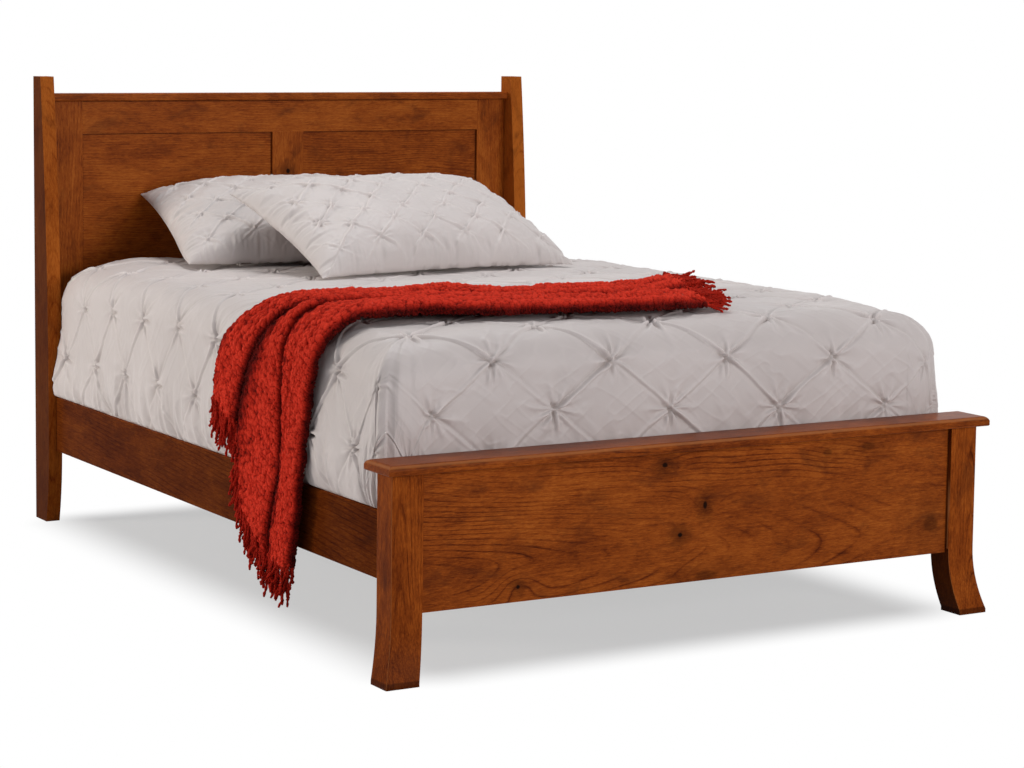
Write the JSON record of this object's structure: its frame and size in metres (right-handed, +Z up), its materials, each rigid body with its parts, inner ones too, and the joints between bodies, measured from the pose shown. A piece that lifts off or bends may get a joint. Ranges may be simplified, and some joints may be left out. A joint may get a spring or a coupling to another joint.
{
  "type": "bed",
  "caption": "Wooden queen bed, flared footboard posts, shaped headboard posts with flat panels, made up with mattress, tufted comforter, pillows and fringed knit throw",
  "frame": {"origin": "on the floor, under the middle of the bed's overall box", "axes": "+X runs across the bed to the sleeper's right seen from the foot, +Y runs along the bed from the footboard to the headboard, +Z is up"},
  "size_m": [1.71, 2.288, 1.295],
  "materials": {
    "wood": "semi-gloss reddish brown stain",
    "wood_panel": "semi-gloss reddish brown stain, plain-sawn figure",
    "pine": "planed softwood",
    "steel": "zinc plated",
    "glide": "black moulded",
    "ticking": "woven ticking",
    "bedding": "pale warm grey sateen with sewn tufts",
    "sham": "pale warm grey sateen with sewn tucks and a piped edge",
    "knit": "red boucle knit with fringed ends"
  },
  "bodies": {
    "bed_frame": {"headboard_post_left": "wood", "headboard_post_right": "wood", "headboard_top_rail": "wood", "headboard_bottom_rail": "wood", "headboard_stile_left": "wood", "headboard_stile_right": "wood", "headboard_mullion": "wood", "headboard_panel_left": "wood_panel", "headboard_panel_right": "wood_panel", "headboard_cap": "wood", "footboard_post_left": "wood", "footboard_post_right": "wood", "footboard_panel": "wood_panel", "footboard_cap": "wood", "cap_dowels": "pine", "side_rail_left": "wood", "side_rail_right": "wood", "rail_cleat_left": "pine", "rail_cleat_right": "pine", "rail_hooks": "steel", "hook_sockets": "steel", "plate_screws": "steel", "slat_1": "pine", "slat_2": "pine", "slat_3": "pine", "slat_4": "pine", "slat_5": "pine", "slat_screws": "steel", "centre_leg_1": "pine", "centre_leg_2": "pine", "centre_leg_3": "pine", "leg_inserts": "steel"},
    "glide_a": {"glide_1": "glide"},
    "glide_b": {"glide_2": "glide"},
    "glide_c": {"glide_3": "glide"},
    "box_base": {"foundation": "ticking"},
    "sleeping_surface": {"mattress": "ticking", "comforter": "bedding"},
    "rear_pillow": {"pillow_left": "sham"},
    "front_pillow": {"pillow_right": "sham"},
    "blanket": {"throw": "knit"}
  },
  "joints": [
    {"name": "glide_1_level", "type": "slide", "parent": "bed_frame", "child": "glide_a", "axis": [0, 0, 1], "range_m": [0, 0.012]},
    {"name": "glide_2_level", "type": "slide", "parent": "bed_frame", "child": "glide_b", "axis": [0, 0, 1], "range_m": [0, 0.012]},
    {"name": "glide_3_level", "type": "slide", "parent": "bed_frame", "child": "glide_c", "axis": [0, 0, 1], "range_m": [0, 0.012]},
    {"name": "foundation_lift", "type": "slide", "parent": "bed_frame", "child": "box_base", "axis": [0, 0, 1], "range_m": [0, 0.05]},
    {"name": "mattress_lift", "type": "slide", "parent": "box_base", "child": "sleeping_surface", "axis": [0, 0, 1], "range_m": [0, 0.08]},
    {"name": "rear_pillow_lift", "type": "slide", "parent": "sleeping_surface", "child": "rear_pillow", "axis": [0, -0.35, 0.9367], "range_m": [0, 0.3]},
    {"name": "front_pillow_lift", "type": "slide", "parent": "rear_pillow", "child": "front_pillow", "axis": [0, 0, 1], "range_m": [0, 0.3]},
    {"name": "throw_lift", "type": "slide", "parent": "sleeping_surface", "child": "blanket", "axis": [0, -0.5, 0.866], "range_m": [0, 0.7]}
  ]
}
